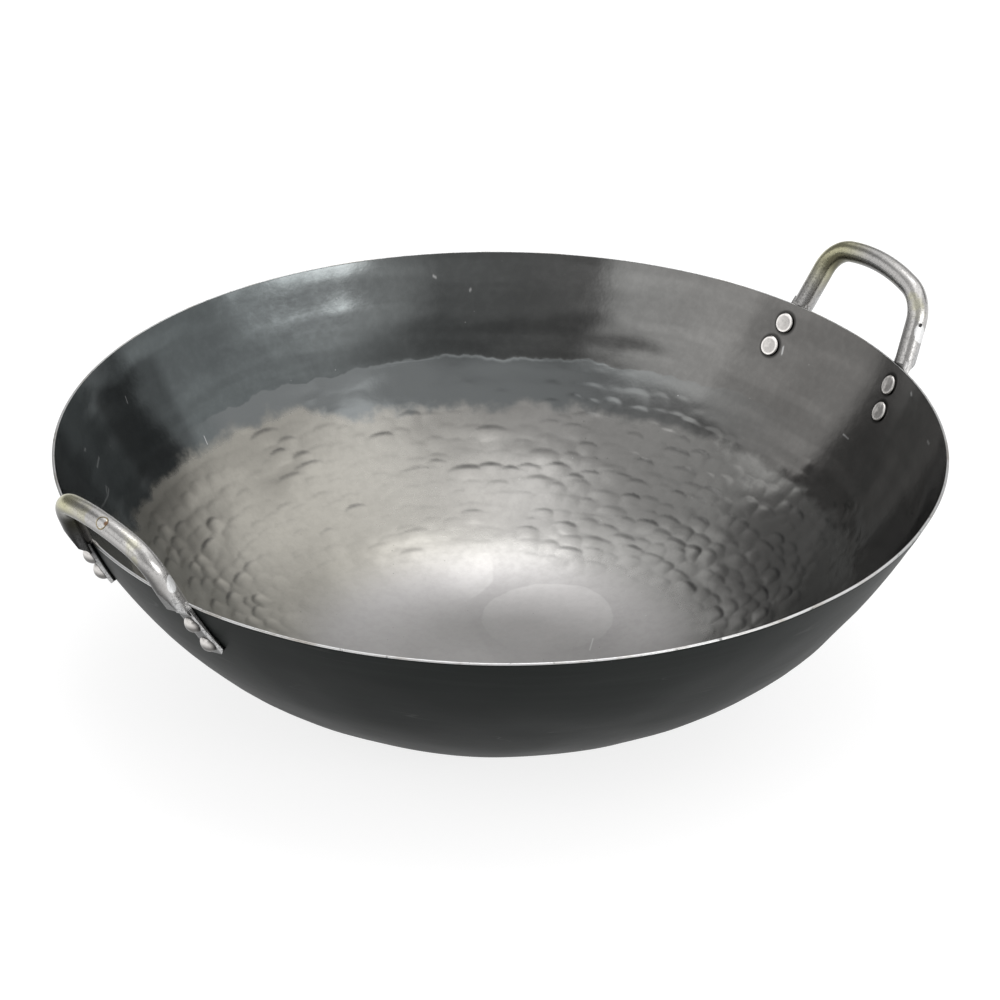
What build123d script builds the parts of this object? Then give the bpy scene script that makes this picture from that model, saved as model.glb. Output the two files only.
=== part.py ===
from build123d import *
import os
from math import asin, atan2, cos, degrees, hypot, radians, sin, sqrt, tan

# A round-walled, two-handled pan of carbon steel, stood on its small flat bottom.
# Lengths are in millimetres and angles in degrees. The origin is the middle of the
# underside, +Z is up, and the two handles stand over +X (right) and -X (left).
# Front is -Y and back is +Y.

# Bowl, measured on its outside
rim_diameter = 480.0
bowl_depth = 133.3
flat_diameter = 93.0
rim_slope = 63.0
knuckle_slope = 50.4
sheet = 1.6
rim_edge_break = 0.25

# Handle loop, measured on the centreline of its tube, in a plane that carries on
# the slope of the wall at the rim
tube_diameter = 11.6
loop_height = 41.6
leg_spacing = 89.0
leg_lean = 9.7
bend_radius = 20.2
crown_radius = 106.0
loop_outset = 0.3

# Tab: the flattened end of a leg, measured down or up the wall from the rim
tab_width = 12.0
tab_thickness = 3.4
tab_length = 34.0
tab_root = 3.0
tab_corner_radius = 2.6
seat_clearance = 0.03
fold_gap = 0.7
fold_gap_width = 7.0
fold_gap_depth = 5.0

# Marks of the press between tab and tube: a notch that lets the leg over the rim,
# a taper, a steep shoulder and a long squeezed flat on the outside, and a slanted
# oval flat on the front leg
notch_height = 1.2
taper_drop = 6.4
taper_height = 1.4
taper_bite = 0.3
shoulder_drop = 0.6
shoulder_rise = 3.5
shoulder_height = 3.1
squeeze_rise = 16.0
punch_low = 8.0
punch_length = 13.0
punch_depth = 1.7
punch_width = 8.6
punch_turn = 11.0

# Rivets, whose places are measured down the wall from the rim
rivet_drop = 11.7
rivet_pitch = 14.8
shank_diameter = 5.0
shank_clearance = 0.1
head_clearance = 0.1
outer_head_diameter = 10.4
outer_head_height = 3.6
inner_head_diameter = 11.0
inner_head_height = 1.3
inner_head_break = 0.5
dish_diameter = 8.0
dish_depth = 0.3

# Length by which every cutting shape runs past what it cuts
overrun = 5.0

rim_radius = rim_diameter / 2
flat_radius = flat_diameter / 2
tube_radius = tube_diameter / 2

# The wall is two arcs that meet at the knuckle and run smoothly into the flat. Their
# radii follow from the bowl's reach and depth, which they share between them.
reach = rim_radius - flat_radius
rim_sine, rim_cosine = sin(radians(rim_slope)), cos(radians(rim_slope))
knuckle_sine, knuckle_cosine = sin(radians(knuckle_slope)), cos(radians(knuckle_slope))
upper_across = rim_sine - knuckle_sine
upper_down = knuckle_cosine - rim_cosine
lower_down = 1 - knuckle_cosine
spread = knuckle_sine * upper_down - upper_across * lower_down
upper_radius = (bowl_depth * knuckle_sine - reach * lower_down) / spread
lower_radius = (reach * upper_down - bowl_depth * upper_across) / spread
lower_centre = Vector(flat_radius, 0, lower_radius)
upper_centre = Vector(
    rim_radius - upper_radius * rim_sine,
    0,
    bowl_depth + upper_radius * rim_cosine,
)


def arc_point(centre, radius, slope):
    """Point of a wall arc at a slope, in the upright plane through the handles."""
    angle = radians(slope)
    return centre + Vector(sin(angle), 0, -cos(angle)) * radius


def wall_frame(drop, across, outset=0.0):
    """Frame on the right wall: x across, y up the wall and z out of it.

    The place is given down the wall from the rim, across from the middle of the
    handle, and out from the wall's outer face.
    """
    slope = rim_slope - degrees(drop / upper_radius)
    point = arc_point(upper_centre, upper_radius + outset, slope)
    turn = asin(across / point.X)
    tilt = radians(slope)
    return Plane(
        origin=(point.X * cos(turn), across, point.Z),
        x_dir=(-sin(turn), cos(turn), 0),
        z_dir=(sin(tilt) * cos(turn), sin(tilt) * sin(turn), -cos(tilt)),
    )


def leg_across(rise):
    """Distance of a leg's centreline from the middle of its handle, above the rim."""
    return leg_spacing / 2 - rise * tan(radians(leg_lean))


def rivet_frames():
    """Frames of the right handle's four rivets, upper before lower, front before back."""
    drops = (rivet_drop, rivet_drop + rivet_pitch)
    return [wall_frame(drop, side * leg_across(-drop)) for side in (-1, 1) for drop in drops]


def rivet_hole(frame):
    """Clearance hole for one shank, through the wall and the tab on it."""
    low = -sheet - overrun
    height = tab_thickness + overrun - low
    base = (Align.CENTER, Align.CENTER, Align.MIN)
    return frame * Pos(0, 0, low) * Cylinder(shank_diameter / 2 + shank_clearance, height, align=base)


def make_bowl():
    """Pressed sheet bowl: even wall, small flat bottom and a plain cut rim."""

    def run(centre, radius, first, last):
        slopes = (first, (first + last) / 2, last)
        return ThreePointArc(*[arc_point(centre, radius, slope) for slope in slopes])

    inner_upper = upper_radius - sheet
    inner_lower = lower_radius - sheet
    outer_low = run(lower_centre, lower_radius, 0, knuckle_slope)
    outer_high = run(upper_centre, upper_radius, knuckle_slope, rim_slope)
    inner_high = run(upper_centre, inner_upper, rim_slope, knuckle_slope)
    inner_low = run(lower_centre, inner_lower, knuckle_slope, 0)
    under, floor = Vector(0, 0, 0), Vector(0, 0, sheet)
    outline = Curve() + [
        Line(under, outer_low @ 0),
        outer_low,
        outer_high,
        Line(outer_high @ 1, inner_high @ 0),
        inner_high,
        inner_low,
        Line(inner_low @ 1, floor),
        Line(floor, under),
    ]
    bowl = revolve(make_face(outline), Axis.Z)
    rim_edges = bowl.edges().filter_by(GeomType.CIRCLE).sort_by(Axis.Z)[-2:]
    bowl = chamfer(rim_edges, rim_edge_break)
    for frame in rivet_frames():
        hole = rivet_hole(frame)
        bowl -= [hole, mirror(hole, Plane.YZ)]
    return bowl


def loop_plane():
    """Plane of the handle loop: x across, y up along the wall's slope at the rim."""
    middle = wall_frame(0, 0, loop_outset)
    return Plane(origin=middle.origin, x_dir=(0, 1, 0), z_dir=middle.z_dir)


def leg_direction(side):
    """Direction up one leg, which leans towards the middle of the handle."""
    plane, lean = loop_plane(), radians(leg_lean)
    return plane.y_dir * cos(lean) - plane.x_dir * (side * sin(lean))


def loop_path():
    """Centreline of the tube: two leaning legs, two bends and a bowed crown."""
    lean = radians(leg_lean)
    inward = Vector(-cos(lean), -sin(lean))
    along = Vector(-sin(lean), cos(lean))
    crown_centre = Vector(0, loop_height - crown_radius)
    crown_top = Vector(0, loop_height)
    # The bend's centre lies one bend radius inside the leg's line, at the height
    # where the bend runs into the crown's arc.
    start = Vector(leg_spacing / 2, 0) + inward * bend_radius
    gap = start - crown_centre
    ahead = gap.dot(along)
    aside_squared = gap.dot(gap) - ahead ** 2
    bend_rise = sqrt((crown_radius - bend_radius) ** 2 - aside_squared) - ahead
    bend_centre = start + along * bend_rise
    fan = bend_centre - crown_centre
    leg_end = bend_centre - inward * bend_radius
    crown_end = crown_centre + fan.normalized() * crown_radius
    bend_middle = bend_centre + (fan.normalized() - inward).normalized() * bend_radius
    foot = Vector(leg_across(-taper_drop), -taper_drop)

    def flip(point):
        return Vector(-point.X, point.Y)

    return Curve() + [
        Line(foot, leg_end),
        ThreePointArc(leg_end, bend_middle, crown_end),
        ThreePointArc(crown_end, crown_top, flip(crown_end)),
        ThreePointArc(flip(crown_end), flip(bend_middle), flip(leg_end)),
        Line(flip(leg_end), flip(foot)),
    ]


def press_plane(side):
    """Side view of one leg at the rim: x up the leg, y out of the wall."""
    rim = wall_frame(0, side * leg_across(0))
    leg = leg_direction(side)
    up = (leg - rim.z_dir * leg.dot(rim.z_dir)).normalized()
    return Plane(origin=rim.origin, x_dir=up, z_dir=up.cross(rim.z_dir))


def press_marks(side):
    """What the press takes off one leg, inside and outside, as seen from its side."""
    plane = press_plane(side)
    crest = loop_plane().from_local_coords(Vector(side * leg_across(squeeze_rise), squeeze_rise))
    squeeze_outset = plane.to_local_coords(crest).Y + tube_radius
    low = -taper_drop - overrun
    far = squeeze_outset + overrun
    face = tab_thickness - taper_bite
    shoulder = tab_thickness + taper_height
    outside = Polyline(
        (low, face),
        (-taper_drop, face),
        (-shoulder_drop, shoulder),
        (shoulder_rise - shoulder_drop, shoulder + shoulder_height),
        (squeeze_rise, squeeze_outset),
        (squeeze_rise, far),
        (low, far),
        close=True,
    )
    inside = Polyline(
        (low, 0),
        (notch_height, 0),
        (notch_height, -tube_diameter),
        (low, -tube_diameter),
        close=True,
    )
    outlines = (outside, inside)
    return [extrude(plane * make_face(outline), amount=tab_width, both=True) for outline in outlines]


def punch_mark():
    """Slanted oval flat on the outward side of the front leg, above the rim."""
    plane, up = loop_plane(), leg_direction(-1)
    turn = radians(punch_turn)
    outward = up.cross(plane.z_dir) * cos(turn) - plane.z_dir * sin(turn)
    low = plane.from_local_coords(Vector(-leg_across(punch_low), punch_low))
    tilt = atan2(punch_depth, punch_length)
    floor = Plane(
        origin=low + outward * (tube_radius - punch_depth),
        x_dir=up * cos(tilt) + outward * sin(tilt),
        z_dir=outward * cos(tilt) - up * sin(tilt),
    )
    length = hypot(punch_length, punch_depth)
    return extrude(floor * Pos(length / 2, 0) * SlotOverall(length, punch_width), amount=overrun)


def make_tab(side):
    """Flattened end of one leg, laid along the outside of the wall."""
    drops = (-tab_root, (tab_length - tab_root) / 2, tab_length)
    outset = seat_clearance + tab_thickness / 2
    stops = [wall_frame(drop, side * leg_across(-drop), outset) for drop in drops]
    path = ThreePointArc(*[stop.origin for stop in stops])
    start = Plane(origin=path @ 0, x_dir=stops[0].x_dir, z_dir=path % 0)
    tab = sweep(start * SlotOverall(tab_width, tab_thickness), path=path)
    # The lower corners are rounded, as seen square on to the wall.
    length = 2 * (tab_length + tab_root)
    end = Plane(origin=path @ 1, x_dir=path % 1, z_dir=stops[-1].z_dir)
    outline = RectangleRounded(length, tab_width, tab_corner_radius)
    shape = extrude(end * Pos(-length / 2, 0) * outline, amount=overrun, both=True)
    # A thin hollow is left between the two walls of the tube at its pressed mouth.
    mouth = Plane(origin=path @ 1, x_dir=stops[-1].x_dir, z_dir=-(path % 1))
    hollow = extrude(mouth * SlotOverall(fold_gap_width, fold_gap), amount=fold_gap_depth)
    return (tab & shape) - hollow


def make_handle():
    """Right handle: a bent tube whose two ends are pressed flat on to the wall."""
    path = loop_plane().from_local_coords(loop_path())
    start = Plane(origin=path @ 0, z_dir=path % 0)
    handle = sweep(start * Circle(tube_radius), path=path, transition=Transition.ROUND)
    handle -= punch_mark()
    for side in (-1, 1):
        handle -= press_marks(side)
    for side in (-1, 1):
        handle += make_tab(side)
    for frame in rivet_frames():
        handle -= rivet_hole(frame)
    return handle


def make_rivet():
    """One rivet about Z, out of the wall: dome, shank and flat dished inner head.

    Each head bears on a curved face. The inner one stands off by the wall's fall
    over the head's radius, and the outer one by the heads' clearance.
    """
    outer_radius = outer_head_diameter / 2
    inner_radius = inner_head_diameter / 2
    shank_radius = shank_diameter / 2
    outer_seat = tab_thickness + seat_clearance + head_clearance
    inner_seat = -sheet - inner_radius ** 2 / (2 * min(rim_radius, upper_radius))
    crest = outer_seat + outer_head_height
    inner_face = inner_seat - inner_head_height
    dome_radius = (outer_radius ** 2 + outer_head_height ** 2) / (2 * outer_head_height)
    half_angle = asin(outer_radius / dome_radius) / 2
    dome_side = Vector(dome_radius * sin(half_angle), 0, crest - dome_radius * (1 - cos(half_angle)))
    dome = ThreePointArc(Vector(outer_radius, 0, outer_seat), dome_side, Vector(0, 0, crest))
    rest = Polyline(
        Vector(0, 0, crest),
        Vector(0, 0, inner_face + dish_depth),
        Vector(dish_diameter / 2, 0, inner_face),
        Vector(inner_radius - inner_head_break, 0, inner_face),
        Vector(inner_radius, 0, inner_face + inner_head_break),
        Vector(inner_radius, 0, inner_seat),
        Vector(shank_radius, 0, inner_seat),
        Vector(shank_radius, 0, outer_seat),
        Vector(outer_radius, 0, outer_seat),
    )
    return revolve(make_face(Curve() + [dome, rest]), Axis.Z)


right_handle = make_handle()
parts = {
    "bowl": make_bowl(),
    "handle_right": right_handle,
    "handle_left": mirror(right_handle, Plane.YZ),
}
rivet = make_rivet()
places = ("front_upper", "front_lower", "back_upper", "back_lower")
for place, frame in zip(places, rivet_frames()):
    parts["rivet_right_" + place] = frame * rivet
    parts["rivet_left_" + place] = mirror(frame * rivet, Plane.YZ)

os.makedirs("parts", exist_ok=True)
for name, solid in parts.items():
    export_step(solid, os.path.join("parts", name + ".step"))
    print(name, round(solid.volume), "cubic mm")
print("wall radii", round(upper_radius, 1), round(lower_radius, 1))
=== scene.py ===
# %% [markdown]
# # A carbon steel wok
#
# The object is a deep round pan of sheet steel with two bent tube handles, each held by four
# rivets. The measured model already gives every piece its size and place. This lesson dresses
# it: a hammered bowl, its dark oxide skin, the bare cut rim, and the handles' plated tube.
#
# We begin by loading that model as a fixed frame. Nothing in it is moved or resized.

# %% Load the measured frame
from math import cos, degrees, pi, radians, sin

import bpy
import numpy as np
from mathutils import Matrix, Vector


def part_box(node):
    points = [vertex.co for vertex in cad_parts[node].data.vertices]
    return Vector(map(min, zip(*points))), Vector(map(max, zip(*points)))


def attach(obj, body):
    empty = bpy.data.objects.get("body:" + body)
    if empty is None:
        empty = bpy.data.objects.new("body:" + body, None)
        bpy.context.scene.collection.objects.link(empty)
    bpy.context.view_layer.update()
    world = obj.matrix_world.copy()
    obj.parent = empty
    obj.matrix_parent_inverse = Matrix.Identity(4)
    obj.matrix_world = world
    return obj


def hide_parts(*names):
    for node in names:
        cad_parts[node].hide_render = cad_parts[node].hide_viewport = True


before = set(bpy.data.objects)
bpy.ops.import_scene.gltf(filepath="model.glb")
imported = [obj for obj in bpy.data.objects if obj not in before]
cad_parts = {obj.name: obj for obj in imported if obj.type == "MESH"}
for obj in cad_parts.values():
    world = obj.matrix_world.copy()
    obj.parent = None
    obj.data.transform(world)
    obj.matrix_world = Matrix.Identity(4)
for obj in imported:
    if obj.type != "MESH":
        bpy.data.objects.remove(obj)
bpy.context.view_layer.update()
mm = 0.001
print("pieces in the frame:", len(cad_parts))

# %% [markdown]
# ## The camera
#
# A product camera stands far away with a long lens, so that the near rim and the far rim look
# almost equally wide. The camera could be placed by hand, but then every later comparison
# would be a guess. Here it is set by the things a photographer would note down: how far away
# it stands, how high above the rim, which way round the pan, and how it is tipped and rolled.

# %% Set up the camera
camera_distance = 5.266
camera_height = radians(27.39)
camera_turn = radians(36.53)
camera_tip = radians(0.29)
camera_roll = radians(0.47)
sensor = 36.0
lens_per_sensor = 9.856
rim_height = 133.3 * mm


def place_camera():
    """Stand the camera in front and to the left of the pan, aimed near the rim's middle."""
    aim = Vector((0, 0, rim_height))
    level = cos(camera_height)
    back = Vector((-sin(camera_turn) * level, -cos(camera_turn) * level, sin(camera_height)))
    data = bpy.data.cameras.new("studio_camera")
    data.sensor_width = sensor
    data.lens = sensor * lens_per_sensor
    camera = bpy.data.objects.new("studio_camera", data)
    bpy.context.scene.collection.objects.link(camera)
    facing = (-back).to_track_quat("-Z", "Y").to_matrix().to_4x4()
    trim = Matrix.Rotation(-camera_tip, 4, "X") @ Matrix.Rotation(camera_roll, 4, "Z")
    camera.matrix_world = Matrix.Translation(aim + back * camera_distance) @ facing @ trim
    bpy.context.scene.camera = camera
    return camera


camera = place_camera()
print("lens in mm:", round(camera.data.lens, 1))

# %% [markdown]
# ## Writing a finish with few words
#
# Every finish in this lesson is procedural: it is worked out from the place of a point on the
# object, with noise, smooth steps and a little arithmetic. Written out node by node that fills
# pages. The small class below adds one node per call and hands back its output, so that a
# finish reads like a list of layers. It starts with what the floor and the room need. The
# layers that only worn metal needs are added to it when we come to the bowl.

# %% A helper for layered finishes
class Finish:
    """A procedural material or room that is built up one layer at a time."""

    def __init__(self, block, shader="Principled BSDF", place="Object"):
        block.use_nodes = True
        self.block = block
        self.tree = block.node_tree
        self.shader = self.tree.nodes[shader]
        self.place = self.tree.nodes.new("ShaderNodeTexCoord").outputs[place]

    @classmethod
    def paint(cls, name):
        """An empty finish for a surface."""
        return cls(bpy.data.materials.new(name))

    def plug(self, socket, value):
        """Join a value from another node to a socket, or set a plain one on it."""
        if isinstance(value, bpy.types.NodeSocket):
            self.tree.links.new(value, socket)
        else:
            socket.default_value = value

    def surface(self, **values):
        """Give the shader its colour, roughness and so on."""
        for name, value in values.items():
            self.plug(self.shader.inputs[name.replace("_", " ")], value)

    def math(self, operation, *values):
        """One sum, product or other operation on numbers."""
        node = self.tree.nodes.new("ShaderNodeMath")
        node.operation = operation
        for socket, value in zip(node.inputs, values):
            self.plug(socket, value)
        return node.outputs[0]

    def product(self, *values):
        """Several values multiplied together."""
        total = values[0]
        for value in values[1:]:
            total = self.math("MULTIPLY", total, value)
        return total

    def axes(self, place=None):
        """The three axes of a place, one by one."""
        node = self.tree.nodes.new("ShaderNodeSeparateXYZ")
        self.plug(node.inputs[0], place or self.place)
        return node.outputs[:]

    def noise(self, size=1.0, detail=3.0, rough=0.5, place=None):
        """Cloudy noise from 0 to 1, whose patches are about as wide as the size."""
        node = self.tree.nodes.new("ShaderNodeTexNoise")
        self.plug(node.inputs["Vector"], place or self.place)
        node.inputs["Scale"].default_value = 1 / size
        node.inputs["Detail"].default_value = detail
        node.inputs["Roughness"].default_value = rough
        return node.outputs["Fac"]

    def between(self, value, low, high):
        """A smooth step from 0 at the low value to 1 at the high one."""
        node = self.tree.nodes.new("ShaderNodeMapRange")
        node.interpolation_type = "SMOOTHSTEP"
        self.plug(node.inputs["Value"], value)
        self.plug(node.inputs["From Min"], low)
        self.plug(node.inputs["From Max"], high)
        return node.outputs["Result"]

    def mix(self, share, first, second, kind="MIX"):
        """Lay a second colour over the first one by a share."""
        node = self.tree.nodes.new("ShaderNodeMix")
        node.data_type = "RGBA"
        node.blend_type = kind
        self.plug(node.inputs["Factor"], share)
        self.plug(node.inputs["A"], first)
        self.plug(node.inputs["B"], second)
        return node.outputs["Result"]


def grey(level, warmth=0.0):
    """A neutral colour, a little warmer or, below zero, a little bluer."""
    return (level * (1 + warmth), level, level * (1 - warmth), 1.0)


print("finish helper ready, half grey is", grey(0.5))

# %% [markdown]
# ## The floor
#
# The pan stands on a big pale sheet. It should look white without being lit harder than the
# pan, because more light would bleach the steel. So the sheet glows by itself, but only for
# rays that come from the camera or off something shiny. A share of its brightness still comes
# from the lamps, and that share is what carries the pan's soft shadow.

# %% Lay the floor
floor_width = 40.0
floor_drop = 0.2 * mm
floor_glow = 0.8
fibre_size = 4 * mm
paper_dark, paper_light = grey(0.32), grey(0.35)


def seen_directly(finish):
    """1 for rays from the camera and for rays that bounced off gloss or went through glass."""
    path = finish.tree.nodes.new("ShaderNodeLightPath")
    shiny = finish.math("MAXIMUM", path.outputs["Is Glossy Ray"], path.outputs["Is Transmission Ray"])
    return finish.math("MAXIMUM", shiny, path.outputs["Is Camera Ray"])


def floor_paper():
    """Matt pale paper, which can be looked through from below."""
    paint = Finish.paint("floor_paper")
    fibres = paint.noise(fibre_size, detail=4.0)
    paint.surface(
        Base_Color=paint.mix(fibres, paper_dark, paper_light),
        Roughness=0.9,
        Specular_IOR_Level=0.1,
        Emission_Color=grey(1.0),
        Emission_Strength=paint.math("MULTIPLY", seen_directly(paint), floor_glow),
    )
    see_through = paint.tree.nodes.new("ShaderNodeBsdfTransparent")
    two_faces = paint.tree.nodes.new("ShaderNodeMixShader")
    below = paint.tree.nodes.new("ShaderNodeNewGeometry").outputs["Backfacing"]
    paint.plug(two_faces.inputs[0], below)
    paint.plug(two_faces.inputs[1], paint.shader.outputs[0])
    paint.plug(two_faces.inputs[2], see_through.outputs[0])
    output = paint.tree.nodes["Material Output"]
    paint.plug(output.inputs["Surface"], two_faces.outputs[0])
    return paint.block


def lay_floor():
    """A big flat sheet just under the pan."""
    half = floor_width / 2
    corners = [(-half, -half), (half, -half), (half, half), (-half, half)]
    mesh = bpy.data.meshes.new("floor")
    mesh.from_pydata([(x, y, -floor_drop) for x, y in corners], [], [(0, 1, 2, 3)])
    mesh.materials.append(floor_paper())
    floor = bpy.data.objects.new("floor", mesh)
    bpy.context.scene.collection.objects.link(floor)
    return floor


floor = lay_floor()
print("floor width in m:", floor.dimensions.x)

# %% [markdown]
# ## The room and its soft boxes
#
# Dark polished steel has almost no colour of its own: what it shows is the studio. Lamps close
# to the pan would draw hard rectangles on the wall. Here the soft boxes are painted on the
# room itself, as patches of brightness with soft edges, each given by the direction in which
# it is seen from the pan. The names say where each one hangs. The corner lamp is made of three
# boxes side by side, each a little higher and brighter than the one before and with edges that
# run into each other, so that the bright patch it makes at the far left of the wall slants.

# %% Paint the room
room_level = 0.21
# Turn (0 is beyond the pan and 90 to the camera's right), height, half the turn and half the
# height that it covers, how soft its edge is, all in degrees, and then its brightness
soft_boxes = {
    "zenith": (0, 90, 180, 14, 8, 1.85),
    "ceiling_behind": (180, 60, 42, 14, 6, 0.6),
    "ceiling_left": (-95, 60, 40, 14, 6, 0.5),
    "ceiling_right": (95, 60, 40, 14, 6, 1.55),
    "ceiling_beyond": (0, 60, 52, 14, 6, 1.15),
    "back_lamp": (8, 64, 26, 6, 5, 3.4),
    "left_wall": (-90, 24, 22, 18, 3, 0.92),
    "left_corner": (-131, 26, 20, 18, 4, 1.6),
    "behind": (180, 24, 26, 20, 6, 0.32),
    "right_corner": (134, 28, 21, 16, 9, 0.95),
    "corner_lamp_low": (112, 12, 6, 8.5, 2.5, 2.8),
    "corner_lamp": (124, 15.5, 6, 9.5, 2.5, 4.6),
    "corner_lamp_high": (136, 16.5, 6, 11, 2.5, 5.2),
    "right_wall": (91, 24, 23, 18, 2, 0.75),
    "low_beyond": (28, 6, 23, 14, 3, 0.2),
    "right_side_high": (55, 38, 16, 10, 6, 1.3),
    "beyond_high": (5, 35.5, 34, 9.5, 6, 0.8),
    "horizon": (0, 0, 180, 4, 4, 0.5),
}


def light_room():
    """A dim room with soft boxes painted on its walls and ceiling."""
    world = bpy.data.worlds.new("studio_room")
    bpy.context.scene.world = world
    room = Finish(world, "Background", "Generated")
    x, y, z = room.axes()
    turn = room.math("SUBTRACT", room.math("DEGREES", room.math("ARCTAN2", x, y)), degrees(camera_turn))
    height = room.math("DEGREES", room.math("ARCSINE", z))
    light = room_level
    for box_turn, box_height, half_turn, half_height, soft, brightness in soft_boxes.values():
        aside = room.math("ABSOLUTE", room.math("WRAP", room.math("SUBTRACT", turn, box_turn), 180, -180))
        above = room.math("ABSOLUTE", room.math("SUBTRACT", height, box_height))
        across = room.between(aside, half_turn + soft, half_turn - soft)
        upright = room.between(above, half_height + soft, half_height - soft)
        light = room.math("ADD", light, room.product(across, upright, brightness))
    room.plug(room.shader.inputs["Strength"], light)
    room.plug(room.shader.inputs["Color"], grey(1.0))


light_room()
bpy.context.scene.view_settings.view_transform = "Standard"
print("soft boxes:", ", ".join(soft_boxes))

# %% [markdown]
# ## The bowl's wall
#
# On the real pan the bowl is one disc of 1.6 mm sheet, pressed to shape and then hammered in
# rings from the inside. We could keep the smooth measured bowl and fake the marks with bump,
# but marks this large catch the light at the edge of every dish, so they have to be real
# geometry. The new bowl uses the same two arcs as the measured one. A place on it is given as
# a way along the wall from the middle and an angle round it.

# %% Follow the wall
rim_radius = 240.0 * mm
bowl_depth = 133.3 * mm
flat_radius = 46.5 * mm
rim_slope = radians(63.0)
knuckle_slope = radians(50.4)
sheet = 1.6 * mm
wall_samples = 2000


def wall_radii():
    """Radii of the lower and upper arc, from the bowl's reach and depth."""
    across = [sin(knuckle_slope), sin(rim_slope) - sin(knuckle_slope)]
    down = [1 - cos(knuckle_slope), cos(knuckle_slope) - cos(rim_slope)]
    return np.linalg.solve([across, down], [rim_radius - flat_radius, bowl_depth])


lower_radius, upper_radius = wall_radii()
lower_length = lower_radius * knuckle_slope
upper_length = upper_radius * (rim_slope - knuckle_slope)
wall_length = flat_radius + lower_length + upper_length


def wall_at(way):
    """Radius, height and slope of the outer face, a way along it from the middle."""
    way = np.asarray(way, float)
    low_slope = np.clip((way - flat_radius) / lower_radius, 0, knuckle_slope)
    high_slope = np.clip((way - flat_radius - lower_length) / upper_radius, 0, None)
    slope = low_slope + high_slope
    radius = np.minimum(way, flat_radius) + lower_radius * np.sin(low_slope)
    height = lower_radius * (1 - np.cos(low_slope))
    past = high_slope > 0
    radius = radius + past * upper_radius * (np.sin(slope) - np.sin(knuckle_slope))
    height = height + past * upper_radius * (np.cos(knuckle_slope) - np.cos(slope))
    return radius, height, slope


def way_to(radius):
    """Way along the wall at which it has a radius."""
    ways = np.linspace(0, wall_length, wall_samples)
    return np.interp(radius, wall_at(ways)[0], ways)


print("arcs in mm:", round(lower_radius / mm, 1), round(upper_radius / mm, 1))
print("wall from middle to rim in mm:", round(wall_length / mm, 1))

# %% [markdown]
# ## Hammer marks
#
# A hammer with a slightly domed face leaves a shallow dish. The smith works ring by ring from
# the middle outward, so each dish keeps its steep outer edge and loses its inner one to the
# next ring. That makes the marks look like fish scales. Most blows are light. A few are hard,
# and one line of hard blows stands out from the right wall round to the far one.
#
# We draw the blows once with a fixed seed: where each one falls, and how deep it goes. The
# depth at any point of the wall is then that of the deepest dish there. The steep outer edge
# of a dish gets a painted shade, dark as if light fell off it. How much is drawn as well,
# and kept on the mesh for the finish to read.

# %% Lay out the rings of blows
def faded(value, start, end):
    """Smooth step from 0 at the start to 1 at the end, for arrays."""
    share = np.clip((value - start) / (end - start), 0, 1)
    return share * share * (3 - 2 * share)


mark_ring_pitch = 8.4 * mm
mark_pitch = 12.5 * mm
mark_start = 104 * mm
mark_end = way_to(206 * mm)
# How far a blow strays from its place, along its ring and outward, as shares of the pitches
stray_along_share = 0.16
stray_out_share = 0.22
width_shares = (0.6, 1.0)
fixed_seed = 7
rng = np.random.default_rng(fixed_seed)
rings = np.arange(mark_start, mark_end, mark_ring_pitch)
ring_radii = wall_at(rings)[0]
ring_counts = np.round(2 * pi * ring_radii / mark_pitch).astype(int)
ring_phases = rng.random(len(rings))
blow_table = (len(rings), ring_counts.max())
blow_along = rng.normal(0, stray_along_share, blow_table)
blow_out = rng.normal(0, stray_out_share, blow_table)
blow_width = rng.uniform(*width_shares, blow_table)
blow_angles = (np.arange(ring_counts.max()) + ring_phases[:, None]) / ring_counts[:, None] * 2 * pi
print("rings of blows:", len(rings), "blows:", ring_counts.sum())

# %% Choose how hard each blow falls
light_blow = 0.25 * mm
hard_blow = 0.22 * mm
light_shares = (0.4, 1.5)
hard_shares = (0.4, 1.0)
chance_of_hard = 0.14
# Blows are quiet within a reach of the first angle and deeper within one of the second
quiet_angle = radians(88)
quiet_reach = radians(40)
quiet_share = 0.42
quiet_hard_share = 0.5
left_angle = radians(160)
left_reach = radians(50)
left_extra = 0.5
# The first and last rings fade: radii where the marks start and are full
fade_low = (98 * mm, 140 * mm)
fade_high = (212 * mm, 186 * mm)
# How dark the painted shade at a dish's steep edge is, for light and for hard blows
light_blow_shade = 0.5
hard_blow_shade = 0.85
hard_blow_shade_shares = (0.3, 0.8)


def turned_from(angle):
    """How far each blow lies from an angle round the pan."""
    return np.abs((blow_angles - angle + pi) % (2 * pi) - pi)


is_quiet = turned_from(quiet_angle) < quiet_reach
blow_depth = light_blow * rng.uniform(*light_shares, blow_table)
blow_depth *= np.where(is_quiet, quiet_share, 1.0)
blow_depth *= 1 + left_extra * faded(turned_from(left_angle), left_reach, left_reach / 2)
is_hard = rng.random(blow_table) < chance_of_hard * np.where(is_quiet, quiet_hard_share, 1.0)
blow_depth += is_hard * hard_blow * rng.uniform(*hard_shares, blow_table)
# Painted shade at each dish's steep edge, stronger for hard blows
blow_shade = light_blow_shade * rng.uniform(0.0, 1.0, blow_table)
blow_shade *= np.where(is_quiet, quiet_share, 1.0)
blow_shade += is_hard * hard_blow_shade * rng.uniform(*hard_blow_shade_shares, blow_table)
fading = (faded(ring_radii, *fade_low) * faded(ring_radii, *fade_high))[:, None]
blow_depth *= fading
blow_shade *= fading
used = np.arange(ring_counts.max()) < ring_counts[:, None]
print("hard blows:", (is_hard & used).sum())

# %% Add the line of hard blows and the hardest ones
line_radius = 164 * mm
line_blow = 0.34 * mm
line_shares = (0.25, 1.0)
line_degrees = np.arange(-22, 72, 3.0)
struck_shade_shares = (0.6, 1.0)
hardest_blow = 1.5 * hard_blow
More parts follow.
